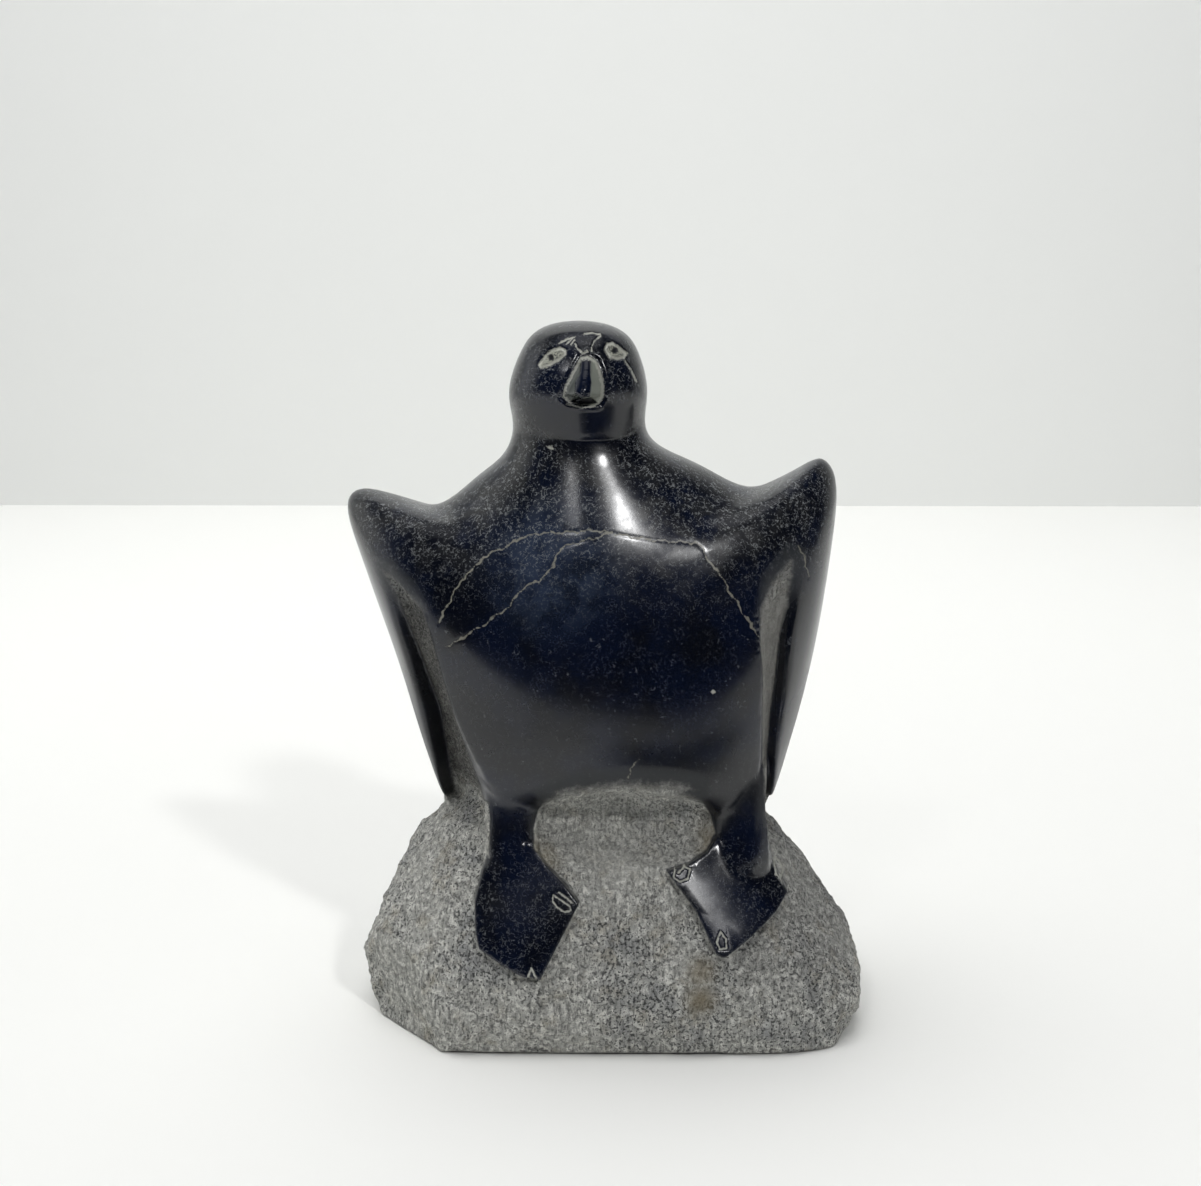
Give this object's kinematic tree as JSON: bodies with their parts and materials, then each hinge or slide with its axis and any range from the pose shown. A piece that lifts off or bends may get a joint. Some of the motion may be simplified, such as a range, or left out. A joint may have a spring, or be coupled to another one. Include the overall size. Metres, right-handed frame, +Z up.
{
  "type": "carved bird statuette",
  "caption": "Hand-carved black soapstone bird with its wings held down behind it, standing on the rough grey boulder it is cut from.",
  "frame": {"origin": "middle of the boulder's flat underside", "axes": "+Z up from the ground to the crown of the head; the bird faces -Y; +X is the wing on the right as one faces the bird"},
  "size_m": [0.1244, 0.0767, 0.165],
  "materials": {
    "soapstone": "polished near-black soapstone with fine grey flecks on the bird, rough rasped mid grey on the boulder and in the furrows"
  },
  "bodies": {
    "root": {"bird_carving": "soapstone"}
  },
  "joints": []
}
